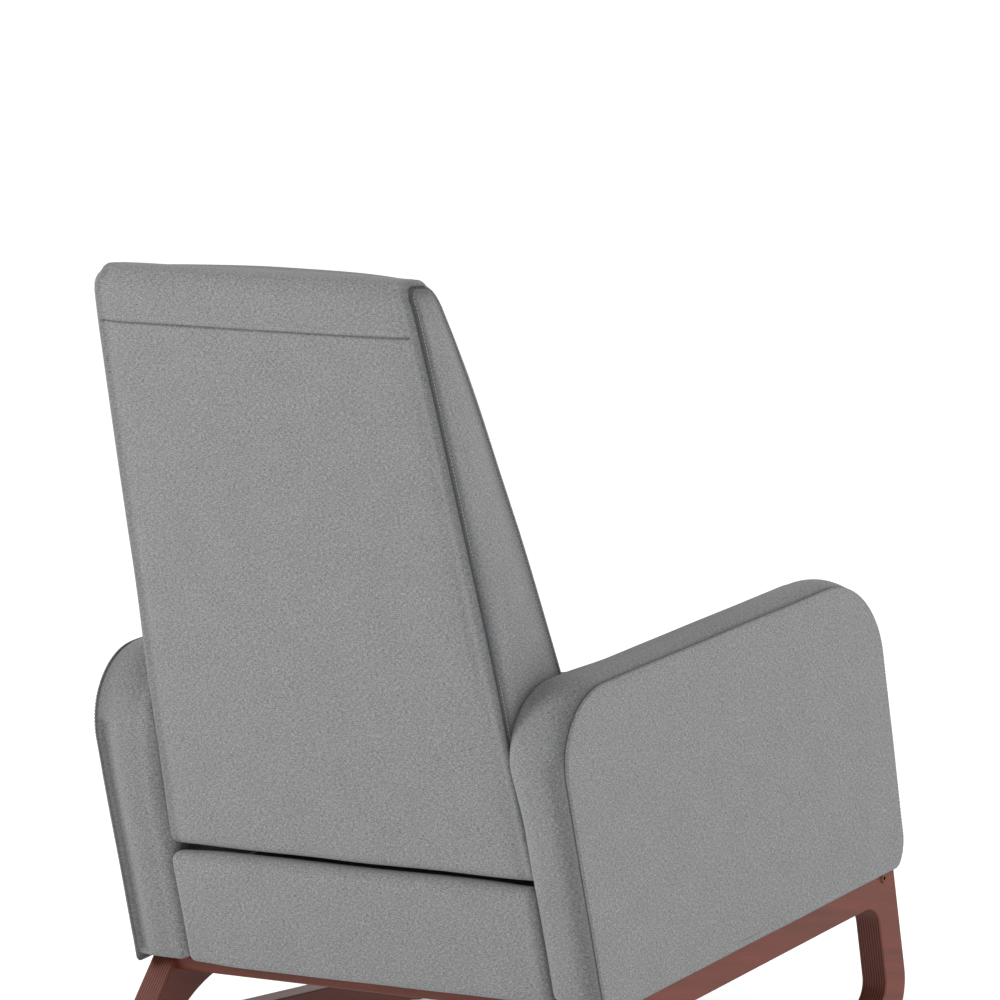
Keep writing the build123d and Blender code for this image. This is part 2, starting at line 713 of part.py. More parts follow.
# ---------------------------------------------------------------- backrest
def back_band(low, high, near, far):
    """Side view of a piece along the back: low and high in z, near and far in front of its rear."""
    Polygon(
        (back_y(low, near), low),
        (back_y(high, near), high),
        (back_y(high, far), high),
        (back_y(low, far), low),
        align=None,
    )


STILE_FOOT = 296.0
STILE_TOP = 985.0
STILE_FACE = OUTSIDE_BACK_T + STILE_DEPTH
STILE_IN = STILE_OUT - STILE_T

for side, sign in SIDES:
    with BuildPart() as stile:
        with BuildSketch(across(sign, STILE_IN, STILE_OUT)):
            back_band(STILE_FOOT, STILE_TOP, OUTSIDE_BACK_T, STILE_FACE)
            with Locations(RECLINE_PIVOT):
                Circle(PIN_D / 2 + 1.0, mode=Mode.SUBTRACT)
        extrude(amount=STILE_T)
    save(stile.part, f"back_stile_{side}")

for name, low, high in (
    ("back_bottom_rail", STILE_FOOT, STILE_FOOT + 60.0),
    ("back_lumbar_rail", 560.0, 600.0),
    ("back_top_rail", STILE_TOP - 60.0, STILE_TOP),
):
    with BuildPart() as rail:
        with BuildSketch(Plane.YZ.offset(-STILE_IN)):
            back_band(low, high, OUTSIDE_BACK_T, OUTSIDE_BACK_T + 22.0)
        extrude(amount=2 * STILE_IN)
    save(rail.part, name)

WEBBING_T = 1.5
with BuildPart() as back_webbing:
    for level in range(6):
        low = 390.0 + level * 95.0
        with BuildSketch(Plane.YZ.offset(-STILE_OUT)):
            back_band(low, low + 55.0, STILE_FACE, STILE_FACE + WEBBING_T)
        extrude(amount=2 * STILE_OUT)
save(back_webbing.part, "back_webbing")

PLATE_T = 4.0
with BuildPart() as recline_plates:
    for _, sign in SIDES:
        with BuildSketch(across(sign, STILE_OUT, STILE_OUT + PLATE_T)):
            back_band(370.0, 520.0, OUTSIDE_BACK_T + 1.0, STILE_FACE - 1.0)
            with Locations(RECLINE_PIVOT):
                Circle(RECLINE_EYE_R)
                Circle(PIN_D / 2 + RUNNING_FIT, mode=Mode.SUBTRACT)
        extrude(amount=PLATE_T)
save(recline_plates.part, "recline_plates")


def back_block():
    """The whole upholstered back: its side view, belly and undercut included, trimmed to its taper."""
    with BuildPart() as block:
        with BuildSketch(Plane.YZ.offset(-BACK_HALF_W)):
            with BuildLine():
                Polyline(BACK_TOP_FRONT, BACK_TOP_REAR, BACK_FOOT, BACK_UNDERCUT, BACK_BELLY)
                ThreePointArc(BACK_BELLY, BACK_FACE_MID, BACK_TOP_FRONT)
            make_face()
            round_corner(BACK_TOP_FRONT, 24.0)
            round_corner(BACK_TOP_REAR, 22.0)
            round_corner(BACK_FOOT, 14.0)
            round_corner(BACK_UNDERCUT, 20.0)
            round_corner(BACK_BELLY, 34.0)
        extrude(amount=2 * BACK_HALF_W)
        foot, top = BACK_FOOT[1] - 5, BACK_TOP_REAR[1] + 1
        with BuildSketch(Plane.XZ.offset(-600)):
            Polygon(
                (-BACK_HALF_W, foot),
                (-BACK_HALF_W_TOP, top),
                (BACK_HALF_W_TOP, top),
                (BACK_HALF_W, foot),
                align=None,
            )
            round_corner((-BACK_HALF_W_TOP, top), BACK_TOP_CORNER_R)
            round_corner((BACK_HALF_W_TOP, top), BACK_TOP_CORNER_R)
        extrude(amount=600, mode=Mode.INTERSECT)
    return block.part


with BuildPart() as back_pad:
    add(back_block())
    with BuildSketch(Plane.YZ.offset(-STILE_OUT)):
        back_band(STILE_FOOT - 1, STILE_TOP + 1, OUTSIDE_BACK_T, STILE_FACE + WEBBING_T)
    extrude(amount=2 * STILE_OUT, mode=Mode.SUBTRACT)
    with BuildSketch(Plane.YZ.offset(-BACK_HALF_W)):
        back_band(200, 1100, -40.0, OUTSIDE_BACK_T)
    extrude(amount=2 * BACK_HALF_W, mode=Mode.SUBTRACT)
    with BuildSketch(Plane.YZ.offset(-STILE_OUT - PLATE_T)):
        back_band(370.0, 520.0, 0.0, STILE_FACE)
        with Locations(RECLINE_PIVOT):
            Circle(RECLINE_EYE_R + 1.0)
    extrude(amount=2 * (STILE_OUT + PLATE_T), mode=Mode.SUBTRACT)
    with BuildSketch(Plane.YZ.offset(-BACK_HALF_W)):
        with Locations(RECLINE_PIVOT):
            Circle(PIN_D / 2 + 2.0)
    extrude(amount=2 * BACK_HALF_W, mode=Mode.SUBTRACT)
save(back_pad.part, "back_pad")

with BuildPart() as outside_back:
    add(back_block())
    with BuildSketch(Plane.YZ.offset(-BACK_HALF_W)):
        back_band(200, 1100, -40.0, OUTSIDE_BACK_T)
    extrude(amount=2 * BACK_HALF_W, mode=Mode.INTERSECT)
save(outside_back.part, "outside_back")
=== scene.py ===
import json
from math import cos, exp, pi, radians, sin, sqrt, tan

import bmesh
import bpy
from mathutils import Matrix, Vector, noise


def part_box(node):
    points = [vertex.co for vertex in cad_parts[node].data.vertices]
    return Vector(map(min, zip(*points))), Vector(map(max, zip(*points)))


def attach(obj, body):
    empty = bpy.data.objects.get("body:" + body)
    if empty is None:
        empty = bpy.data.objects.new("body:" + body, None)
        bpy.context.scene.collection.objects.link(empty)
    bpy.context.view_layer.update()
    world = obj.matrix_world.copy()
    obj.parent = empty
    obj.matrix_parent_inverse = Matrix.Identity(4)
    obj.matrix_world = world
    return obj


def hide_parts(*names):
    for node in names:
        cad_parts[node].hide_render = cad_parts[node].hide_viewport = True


# An upholstered nursery glider on bent-wood loop frames. The covers, cushions, stitching, wood and
# metal finishes are made here around the frame's own nodes. Metres, +Z up, the sitter faces -Y.

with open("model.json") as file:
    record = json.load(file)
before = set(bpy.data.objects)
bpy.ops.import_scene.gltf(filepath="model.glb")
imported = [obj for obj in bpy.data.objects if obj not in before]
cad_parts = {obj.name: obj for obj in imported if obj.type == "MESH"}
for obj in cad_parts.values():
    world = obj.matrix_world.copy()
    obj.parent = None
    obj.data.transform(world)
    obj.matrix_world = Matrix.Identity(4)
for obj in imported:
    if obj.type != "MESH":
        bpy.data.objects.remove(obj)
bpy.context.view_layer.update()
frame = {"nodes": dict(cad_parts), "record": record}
NODES = frame["nodes"]

MM = 0.001
SIDES = (("left", 1), ("right", -1))


# ------------------------------------------------------------------ small mesh helpers
def place(name, bm, material, smooth=True):
    """Turn a bmesh into a finished object with one material."""
    bmesh.ops.recalc_face_normals(bm, faces=bm.faces)
    for face in bm.faces:
        face.smooth = smooth
    mesh = bpy.data.meshes.new(name)
    bm.to_mesh(mesh)
    bm.free()
    obj = bpy.data.objects.new(name, mesh)
    bpy.context.scene.collection.objects.link(obj)
    mesh.materials.append(material)
    return obj


def side_outline(nodes):
    """The convex side view of some CAD nodes, as (y, z) vectors in order."""
    verts = [vert.co for node in nodes for vert in NODES[node].data.vertices]
    points = sorted({(round(co.y, 5), round(co.z, 5)) for co in verts})

    def half(ordered):
        chain = []
        for p in ordered:
            while len(chain) > 1:
                a, b = chain[-2], chain[-1]
                if (b[0] - a[0]) * (p[1] - a[1]) - (b[1] - a[1]) * (p[0] - a[0]) > 0:
                    break
                chain.pop()
            chain.append(p)
        return chain[:-1]

    return [Vector(p) for p in half(points) + half(points[::-1])]


def resample(points, step, marks=()):
    """Even points round a closed outline, with extra ones close together about each mark."""
    lengths = [(points[i - 1] - points[i]).length for i in range(1, len(points))]
    lengths.append((points[-1] - points[0]).length)
    total = sum(lengths)
    count = round(total / step)
    stops = {total * i / count for i in range(count)}
    for mark in marks:
        at, best, walked = 0.0, 1e9, 0.0
        for i, length in enumerate(lengths):
            a, b = points[i], points[(i + 1) % len(points)]
            u = max(0.0, min(1.0, (mark - a).dot(b - a) / max(length**2, 1e-12)))
            away = (a + (b - a) * u - mark).length
            if away < best:
                at, best = walked + u * length, away
            walked += length
        near = [s for s in stops if abs(s - at) < 7 * MM]
        stops -= set(near)
        stops |= {at + d * MM for d in (-7, -4.5, -2.5, -1.2, -0.4, 0.4, 1.2, 2.5, 4.5, 7)}
    result, walked, i = [], 0.0, 0
    for stop in sorted(stops):
        while walked + lengths[i] < stop:
            walked += lengths[i]
            i += 1
        a, b = points[i], points[(i + 1) % len(points)]
        result.append(a + (b - a) * ((stop - walked) / lengths[i]))
    return result


def outward(points):
    """Unit normals of a counter-clockwise outline, smoothed over the neighbours."""
    result = []
    for i, _ in enumerate(points):
        d = points[(i + 1) % len(points)] - points[i - 1]
        result.append(Vector((d.y, -d.x)).normalized())
    return result


def smooth(value):
    """0 below 0, 1 above 1, and an even curve between."""
    t = max(0.0, min(1.0, value))
    return t * t * (3 - 2 * t)


# cross-section of a cover near its seam: how far in from the outline, and how deep from the side
SEAM_EDGE = ((7.0, -0.3), (4.6, 0.0), (2.6, 0.4), (1.2, 1.2), (0.6, 2.4), (0.9, 3.4), (2.2, 4.1), (2.9, 4.6),
             (2.3, 5.2), (1.4, 6.6))
WELT_EDGE = ((16.0, 0.4), (13.0, 0.7), (11.0, 1.4), (9.7, 3.0), (9.0, 4.4), (8.3, 3.2), (7.2, 2.2), (5.6, 2.0),
             (3.6, 2.6), (2.0, 3.8), (0.9, 5.6), (0.2, 8.0))
WELT_LINE = 9.0
SEAM_SETTLES = 14.0
GROOVE = 4.9


def round_edge(radius):
    """Cross-section of a soft edge without a seam."""
    turns = [k * pi / 16 for k in range(9)]
    return tuple((radius * (1 - sin(a)), radius * (1 - cos(a))) for a in turns)


SHRINKS = (0.96, 0.86, 0.74, 0.62, 0.5, 0.39, 0.29, 0.2, 0.13, 0.075, 0.03)


def wrap(name, outline, sides, edges, material, crown=3.0, swell=None, across=13.0, skirt=0.0, shade=None):
    """A closed cover: an end panel, an edge, a strip across the chair, an edge and the other end panel.

    sides gives x of each end at an outline point; edges are the two cross-sections near the ends;
    swell(normal, first, last, point) is how far the strip stands out, in millimetres, that far from
    each end; skirt is how far the first or last panel hangs below the strip; shade(normal, first,
    last, point) is the painted shade beside the seams and folds of the strip, 0 to 1."""
    centre = sum(outline, Vector((0, 0))) / len(outline)
    normals = outward(outline)

    def inset(i, d):
        return outline[i] - normals[i] * (d * MM)

    def hang(i, depth):
        reach = skirt * smooth((-normals[i].y - 0.1) / 0.8) if depth < 1.5 else 0.0
        return Vector((0, -reach * MM))

    def seam_painted_shade(edge, d, depth):
        """Painted shade beside a seam, on the end panel's side of it: how dark the cloth is drawn there, 0 to 1."""
        if edge not in (SEAM_EDGE, WELT_EDGE):
            return 0.0
        if edge is WELT_EDGE:
            return exp(-(d - WELT_LINE) / 9.0) if d > WELT_LINE else exp((d - WELT_LINE) / 4.5)
        away = max(0.0, GROOVE - depth) + max(0.0, d - 1.0) if depth < GROOVE else (depth - GROOVE) * 0.7
        return exp(-away / 2.2)

    def end_rings(side, edge, sign, hung):
        rings = []
        for t in SHRINKS:
            ring = []
            for i, p in enumerate(outline):
                q = centre + (inset(i, edge[0][0]) + (hang(i, 0) if hung else Vector((0, 0))) - centre) * (1 - t)
                lift = crown * (1 - (1 - t) ** 2.5) - edge[0][1]
                off = (p - q).length / MM
                ring.append((side(q) + sign * lift * MM, q, seam_painted_shade(edge, off, 0.0)))
            rings.append(ring)
        for d, depth in edge:
            ring = []
            for i, p in enumerate(outline):
                q = inset(i, d) + (hang(i, depth) if hung else Vector((0, 0)))
                ring.append((side(q) - sign * depth * MM, q, seam_painted_shade(edge, d, depth)))
            rings.append(ring)
        return rings

    hung = [edge is SEAM_EDGE and skirt > 0 for edge in edges]
    first = end_rings(sides[0], edges[0], 1, hung[0])
    last = end_rings(sides[1], edges[1], -1, hung[1])[::-1]
    start, stop = edges[0][-1], edges[1][-1]
    width = (sides[0](centre) - sides[1](centre)) / MM - start[1] - stop[1]
    count = max(2, round(width / across))
    steps = {width * k / count for k in range(1, count)}
    steps |= {k for k in (4.0, 8.0, 13.0, 19.0)} | {width - k for k in (4.0, 8.0, 13.0, 19.0)}
    strip = []
    for step in sorted(steps):
        u = step / width
        ring = []
        for i, p in enumerate(outline):
            drop = start[0] * exp(-step / SEAM_SETTLES) + stop[0] * exp((step - width) / SEAM_SETTLES)
            rise = swell(normals[i], step, width - step, p) if swell else 0.0
            q = p + normals[i] * ((rise - drop) * MM)
            x0 = sides[0](p) - start[1] * MM
            x1 = sides[1](p) + stop[1] * MM
            # dark is the painted shade at this point of the strip
            dark = shade(normals[i], step + start[1], width - step + stop[1], p) if shade else 0.0
            ring.append((x0 * (1 - u) + x1 * u, q, dark))
        strip.append(ring)
    rings = first + strip + last

    bm = bmesh.new()
    # each vertex keeps its painted shade in this attribute, which darkens the tweed
    painted_crease_shade = bm.verts.layers.float.new("painted_crease_shade")
    made = [bm.verts.new((x, p.x, p.y)) for x, p, _ in rings[0]]
    edges_now = [bm.edges.new((made[i - 1], made[i])) for i in range(1, len(made))]
    edges_now.append(bm.edges.new((made[-1], made[0])))
    layers = [made]
    for ring in rings[1:]:
        grown = bmesh.ops.extrude_edge_only(bm, edges=edges_now)["geom"]
        edges_now = [g for g in grown if isinstance(g, bmesh.types.BMEdge)]
        copies = [g for g in grown if isinstance(g, bmesh.types.BMVert)]
        layers.append(match(layers[-1], copies))
        for vert, (x, p, dark) in zip(layers[-1], ring):
            vert.co = (x, p.x, p.y)
            vert[painted_crease_shade] = dark
    for layer in (layers[0], layers[-1]):
        bmesh.ops.poke(bm, faces=[bm.faces.new(layer)])
    return lay_cloth(place(name, bm, material))


def lay_cloth(obj):
    """Give a cover its cloth coordinates in metres: each face takes the two axes that it faces least."""
    mesh = obj.data
    cloth = mesh.uv_layers.get("cloth") or mesh.uv_layers.new(name="cloth")
    for face in mesh.polygons:
        n = [abs(v) for v in face.normal]
        axes = (1, 2) if n[0] > max(n[1], n[2]) else (0, 2) if n[1] > n[2] else (0, 1)
        for loop in face.loop_indices:
            co = mesh.vertices[mesh.loops[loop].vertex_index].co
            cloth.data[loop].uv = (co[axes[0]], co[axes[1]])
    return obj


def match(layer, copies):
    """The copies of a ring's vertices, in the ring's order: an extruded vertex starts where its source is."""
    by_link = {}
    fresh = set(copies)
    for source in layer:
        for link in source.link_edges:
            other = link.other_vert(source)
            if other in fresh:
                by_link[source] = other
    return [by_link[source] for source in layer]


def settle(obj, size=90.0, height=0.8, seed=0.0):
    """Slow, shallow unevenness, as padding has under cloth."""
    for vert in obj.data.vertices:
        spot = vert.co * (1000 / size) + Vector((seed, seed * 2, 0))
        vert.co += vert.normal * (noise.noise(spot) * height * MM)


# ------------------------------------------------------------------ node groups and materials
def group(name, inputs, outputs):
    """A shader node group with named sockets; inputs are (name, kind, default)."""
    tree = bpy.data.node_groups.new(name, "ShaderNodeTree")
    for socket, kind, default in inputs:
        made = tree.interface.new_socket(socket, in_out="INPUT", socket_type=f"NodeSocket{kind}")
        made.default_value = default
    for socket, kind in outputs:
        tree.interface.new_socket(socket, in_out="OUTPUT", socket_type=f"NodeSocket{kind}")
    return tree, tree.nodes.new("NodeGroupInput"), tree.nodes.new("NodeGroupOutput")


def math(tree, operation, a, b=0.5, clamp=False):
    """A Math node; a and b are sockets or numbers."""
    node = tree.nodes.new("ShaderNodeMath")
    node.operation = operation
    node.use_clamp = clamp
    for socket, value in zip(node.inputs, (a, b)):
        if isinstance(value, (int, float)):
            socket.default_value = value
        else:
            tree.links.new(value, socket)
    return node.outputs[0]


def mix(tree, factor, a, b, blend="MIX"):
    """A colour Mix node; factor, a and b are sockets or values."""
    node = tree.nodes.new("ShaderNodeMix")
    node.data_type = "RGBA"
    node.blend_type = blend
    for socket, value in ((node.inputs["Factor"], factor), (node.inputs[6], a), (node.inputs[7], b)):
        if isinstance(value, bpy.types.NodeSocket):
            tree.links.new(value, socket)
        elif isinstance(value, (int, float)):
            socket.default_value = value
        else:
            socket.default_value = (*value[:3], 1)
    return node.outputs[2]


def scaled(tree, vector, scale):
    """A vector stretched by three factors."""
    node = tree.nodes.new("ShaderNodeVectorMath")
    node.operation = "MULTIPLY"
    tree.links.new(vector, node.inputs[0])
    node.inputs[1].default_value = scale
    return node.outputs[0]


def speckle(tree, vector, scale, detail=2.0, rough=0.5):
    """A noise value."""
    node = tree.nodes.new("ShaderNodeTexNoise")
    tree.links.new(vector, node.inputs["Vector"])
    node.inputs["Scale"].default_value = scale
    node.inputs["Detail"].default_value = detail
    node.inputs["Roughness"].default_value = rough
    return node.outputs["Fac"]


def ramp(tree, value, low, high, a=0.0, b=1.0):
    """value remapped from low..high to a..b."""
    node = tree.nodes.new("ShaderNodeMapRange")
    tree.links.new(value, node.inputs[0])
    for socket, number in zip(node.inputs[1:5], (low, high, a, b)):
        socket.default_value = number
    return node.outputs[0]


def weave_group():
    """Plain weave of heathered yarn: slubs along the weft, finer warp, blue and straw flecks."""
    tree, given, out = group(
        "heathered_weave",
        (("Coordinates", "Vector", (0, 0, 0)), ("Yarn", "Color", (0.2, 0.2, 0.2, 1)),
         ("Blue", "Color", (0.15, 0.2, 0.3, 1)), ("Straw", "Color", (0.4, 0.37, 0.3, 1)), ("Contrast", "Float", 1.0)),
        (("Color", "Color"), ("Height", "Float"), ("Roughness", "Float")),
    )
    cloth = given.outputs["Coordinates"]
    weft = speckle(tree, scaled(tree, cloth, (240, 1000, 240)), 1.0, 2.0, 0.6)
    warp = speckle(tree, scaled(tree, cloth, (1000, 260, 260)), 1.0, 2.0, 0.6)
    grit = speckle(tree, cloth, 900.0, 1.0)
    cloud = speckle(tree, cloth, 22.0, 2.0)
    tone = math(tree, "ADD", math(tree, "MULTIPLY", ramp(tree, weft, 0.3, 0.7), 0.5), math(tree, "MULTIPLY", ramp(tree, warp, 0.3, 0.7), 0.3))
    tone = math(tree, "ADD", tone, math(tree, "MULTIPLY", ramp(tree, grit, 0.3, 0.7), 0.2))
    spread = math(tree, "MULTIPLY", math(tree, "SUBTRACT", tone, 0.5), given.outputs["Contrast"])
    level = math(tree, "ADD", math(tree, "ADD", spread, 1.0), math(tree, "MULTIPLY", math(tree, "SUBTRACT", cloud, 0.5), 0.16))
    shade = tree.nodes.new("ShaderNodeCombineColor")
    for socket in shade.inputs:
        tree.links.new(level, socket)
    colour = mix(tree, 1.0, given.outputs["Yarn"], shade.outputs[0], "MULTIPLY")
    fleck = speckle(tree, scaled(tree, cloth, (170, 640, 170)), 1.0, 1.0)
    colour = mix(tree, ramp(tree, fleck, 0.56, 0.7, 0.0, 0.55), colour, given.outputs["Blue"])
    fleck = speckle(tree, scaled(tree, cloth, (560, 150, 150)), 1.37, 1.0)
    colour = mix(tree, ramp(tree, fleck, 0.57, 0.72, 0.0, 0.6), colour, given.outputs["Straw"])
    tree.links.new(colour, out.inputs["Color"])
    part = tree.nodes.new("ShaderNodeSeparateXYZ")
    tree.links.new(cloth, part.inputs[0])
    pick = 2 * pi / (1.5 * MM)
    over = math(tree, "SINE", math(tree, "MULTIPLY", part.outputs[0], pick))
    under = math(tree, "SINE", math(tree, "MULTIPLY", part.outputs[1], pick))
    threads = math(tree, "MULTIPLY", over, under)
    height = math(tree, "ADD", math(tree, "MULTIPLY", threads, 0.25), tone)
    tree.links.new(height, out.inputs["Height"])
    tree.links.new(ramp(tree, tone, 0.2, 0.8, 0.98, 0.86), out.inputs["Roughness"])
    return tree


def grain_group():
    """Straight wood grain along local X: broad bands, fine pores and slow colour drift."""
    tree, given, out = group(
        "wood_grain",
        (("Coordinates", "Vector", (0, 0, 0)), ("Dark", "Color", (0.1, 0.05, 0.03, 1)),
         ("Light", "Color", (0.3, 0.15, 0.1, 1)), ("Pores", "Float", 0.4)),
        (("Color", "Color"), ("Height", "Float"), ("Mask", "Float")),
    )
    along = given.outputs["Coordinates"]
    bands = speckle(tree, scaled(tree, along, (2.5, 55, 55)), 1.0, 4.0, 0.6)
    fine = speckle(tree, scaled(tree, along, (12, 480, 480)), 1.0, 3.0, 0.6)
    pores = speckle(tree, scaled(tree, along, (60, 1500, 1500)), 1.0, 1.0)
    value = math(tree, "ADD", math(tree, "MULTIPLY", ramp(tree, bands, 0.3, 0.7), 0.6), math(tree, "MULTIPLY", fine, 0.4))
    dots = math(tree, "MULTIPLY", ramp(tree, pores, 0.58, 0.7), given.outputs["Pores"])
    colour = mix(tree, value, given.outputs["Dark"], given.outputs["Light"])
    colour = mix(tree, dots, colour, given.outputs["Dark"])
    tree.links.new(colour, out.inputs["Color"])
    tree.links.new(math(tree, "SUBTRACT", fine, dots), out.inputs["Height"])
    tree.links.new(value, out.inputs["Mask"])
    return tree


def new_material(name, roughness=0.5, metallic=0.0, **sockets):
    """A material with a Principled shader; extra keywords set its plain sockets."""
    material = bpy.data.materials.new(name)
    material.use_nodes = True
    shader = material.node_tree.nodes["Principled BSDF"]
    shader.inputs["Roughness"].default_value = roughness
    shader.inputs["Metallic"].default_value = metallic
    for socket, value in sockets.items():
        shader.inputs[socket.replace("_", " ")].default_value = value
    return material, material.node_tree, shader


def use_group(tree, source, **values):
    """Place a node group, with its plain inputs set."""
    node = tree.nodes.new("ShaderNodeGroup")
    node.node_tree = source
    for socket, value in values.items():
        node.inputs[socket].default_value = (*value, 1) if isinstance(value, tuple) else value
    return node


def bump(tree, shader, height, distance, strength=1.0):
    """Feed a height to the shader's normal."""
    node = tree.nodes.new("ShaderNodeBump")
    node.inputs["Distance"].default_value = distance
    node.inputs["Strength"].default_value = strength
    tree.links.new(height, node.inputs["Height"])
    tree.links.new(node.outputs["Normal"], shader.inputs["Normal"])


def coordinates(tree, kind="Object", turn=(0, 0, 0)):
    """Texture coordinates, turned so that a pattern's X runs the way it should."""
    node = tree.nodes.new("ShaderNodeTexCoord")
    mapping = tree.nodes.new("ShaderNodeMapping")
    mapping.inputs["Rotation"].default_value = turn
    tree.links.new(node.outputs[kind], mapping.inputs["Vector"])
    return mapping.outputs["Vector"]


WEAVE = weave_group()
GRAIN = grain_group()


def upholstery(name="grey_tweed"):
    """Mid-grey heathered tweed on the cover's own cloth coordinates, with painted shade in its seams and hollows."""
    material, tree, shader = new_material(name, 0.95, 0.0, Specular_IOR_Level=0.25, Sheen_Weight=0.12, Sheen_Roughness=0.5)
    weave = use_group(tree, WEAVE, Yarn=(0.188, 0.190, 0.192), Blue=(0.115, 0.125, 0.155), Straw=(0.33, 0.32, 0.28), Contrast=1.8)
    uv = tree.nodes.new("ShaderNodeUVMap")
    uv.uv_map = "cloth"
    tree.links.new(uv.outputs[0], weave.inputs["Coordinates"])
    painted_crease_shade = tree.nodes.new("ShaderNodeAttribute")
    painted_crease_shade.attribute_name = "painted_crease_shade"
    # painted shade: the per-vertex shade attribute mixes the weave toward near-black in seams and hollows
    weave_with_painted_shade = mix(tree, ramp(tree, painted_crease_shade.outputs["Fac"], 0.0, 1.0, 0.0, 0.82), weave.outputs["Color"], (0.03, 0.031, 0.034))
    tree.links.new(weave_with_painted_shade, shader.inputs["Base Color"])
    tree.links.new(weave.outputs["Roughness"], shader.inputs["Roughness"])
    bump(tree, shader, weave.outputs["Height"], 0.5 * MM, 0.6)
    return material


def thread():
    """Pale polyester topstitching thread, with its twist."""
    material, tree, shader = new_material("topstitch_thread", 0.6, 0.0)
    twist = speckle(tree, coordinates(tree), 1800.0, 1.0)
    colour = mix(tree, twist, (0.27, 0.27, 0.265), (0.40, 0.40, 0.39))
    tree.links.new(colour, shader.inputs["Base Color"])
    bump(tree, shader, twist, 0.1 * MM)
    return material


def lacquered_wood(name="walnut_stained_ply", turn=(-radians(8.7), 0, radians(-90)), plied=0.75):
    """Walnut-stained plywood, satin lacquered: veneer on its faces, ply stripes on its edges."""
    material, tree, shader = new_material(name, 0.42, 0.0, Specular_IOR_Level=0.2, Coat_Weight=0.04, Coat_Roughness=0.2)
    grain = use_group(tree, GRAIN, Dark=(0.075, 0.021, 0.014), Light=(0.175, 0.046, 0.03), Pores=0.4)
    tree.links.new(coordinates(tree, "Object", turn), grain.inputs["Coordinates"])
    place_in = tree.nodes.new("ShaderNodeSeparateXYZ")
    source = tree.nodes.new("ShaderNodeTexCoord")
    tree.links.new(source.outputs["Object"], place_in.inputs[0])
    plies = math(tree, "SINE", math(tree, "MULTIPLY", place_in.outputs[0], 2 * pi / (3.6 * MM)))
    stripe = ramp(tree, plies, -0.2, 0.5)
    facing = tree.nodes.new("ShaderNodeSeparateXYZ")
    tree.links.new(source.outputs["Normal"], facing.inputs[0])
    edge = ramp(tree, math(tree, "ABSOLUTE", facing.outputs[0]), 0.75, 0.5)
    on_edge = mix(tree, stripe, (0.055, 0.018, 0.014), (0.17, 0.062, 0.045))
    colour = mix(tree, math(tree, "MULTIPLY", edge, plied), grain.outputs["Color"], on_edge)
    tree.links.new(colour, shader.inputs["Base Color"])
    tree.links.new(ramp(tree, grain.outputs["Mask"], 0.0, 1.0, 0.36, 0.5), shader.inputs["Roughness"])
    height = math(tree, "ADD", grain.outputs["Height"], math(tree, "MULTIPLY", stripe, math(tree, "MULTIPLY", edge, 0.8)))
    bump(tree, shader, height, 0.08 * MM, 0.6)
    return material


def raw_timber(name, dark, light, turn=(0, 0, radians(90))):
    """Sawn, unfinished wood inside the frame."""
    material, tree, shader = new_material(name, 0.75)
    grain = use_group(tree, GRAIN, Dark=dark, Light=light, Pores=0.3)
    tree.links.new(coordinates(tree, "Object", turn), grain.inputs["Coordinates"])
    tree.links.new(grain.outputs["Color"], shader.inputs["Base Color"])
    bump(tree, shader, grain.outputs["Height"], 0.2 * MM)
    return material


def worked_metal(name, colour, roughness, metallic=1.0, brushed=(400, 20, 400)):
    """Metal or paint with fine working marks and a little variation."""
    material, tree, shader = new_material(name, roughness, metallic)
    marks = speckle(tree, scaled(tree, coordinates(tree), brushed), 1.0, 3.0)
    drift = speckle(tree, coordinates(tree), 40.0, 2.0)
    darker = tuple(c * 0.72 for c in colour)
    tree.links.new(mix(tree, drift, darker, colour), shader.inputs["Base Color"])
    tree.links.new(ramp(tree, marks, 0.3, 0.7, roughness * 0.8, roughness * 1.25), shader.inputs["Roughness"])
    bump(tree, shader, marks, 0.05 * MM)
    return material


def matted(name, dark, light, scale=700.0):
    """Felt, non-woven cloth or moulded nylon: a fine mottled surface."""
    material, tree, shader = new_material(name, 0.9)
    fibres = speckle(tree, coordinates(tree), scale, 3.0)
    tree.links.new(mix(tree, fibres, dark, light), shader.inputs["Base Color"])
    bump(tree, shader, fibres, 0.3 * MM)
    return material


TWEED = upholstery()
THREAD = thread()
FINISHES = {
    "stained_wood": lacquered_wood(),
    "frame_timber": raw_timber("pine", (0.38, 0.24, 0.12), (0.62, 0.45, 0.27)),
    "plywood": raw_timber("birch_ply", (0.42, 0.29, 0.17), (0.66, 0.5, 0.33)),
    "black_steel": worked_metal("black_powder_coat", (0.02, 0.02, 0.022), 0.45, 0.0, (600, 600, 600)),
    "zinc_steel": worked_metal("zinc_plate", (0.55, 0.56, 0.58), 0.32),
    "bronze_bolt": worked_metal("antique_bronze", (0.16, 0.07, 0.035), 0.42),
    "nylon": matted("white_nylon", (0.55, 0.54, 0.5), (0.72, 0.71, 0.67), 250.0),
    "felt_pad": matted("dark_felt", (0.03, 0.028, 0.026), (0.08, 0.075, 0.07)),
    "backing_cloth": matted("black_backing", (0.012, 0.012, 0.013), (0.05, 0.05, 0.055), 900.0),
    "grey_upholstery": TWEED,
}
CROSS_RAIL_WOOD = lacquered_wood("walnut_stained_rail", (0, 0, 0), 0.0)
for sub in frame["record"]["subparts"]:
    across_chair = sub["node"].endswith("cross_rail")
    for slot in NODES[sub["node"]].material_slots:
        slot.material = CROSS_RAIL_WOOD if across_chair else FINISHES[sub["material_slot"]]


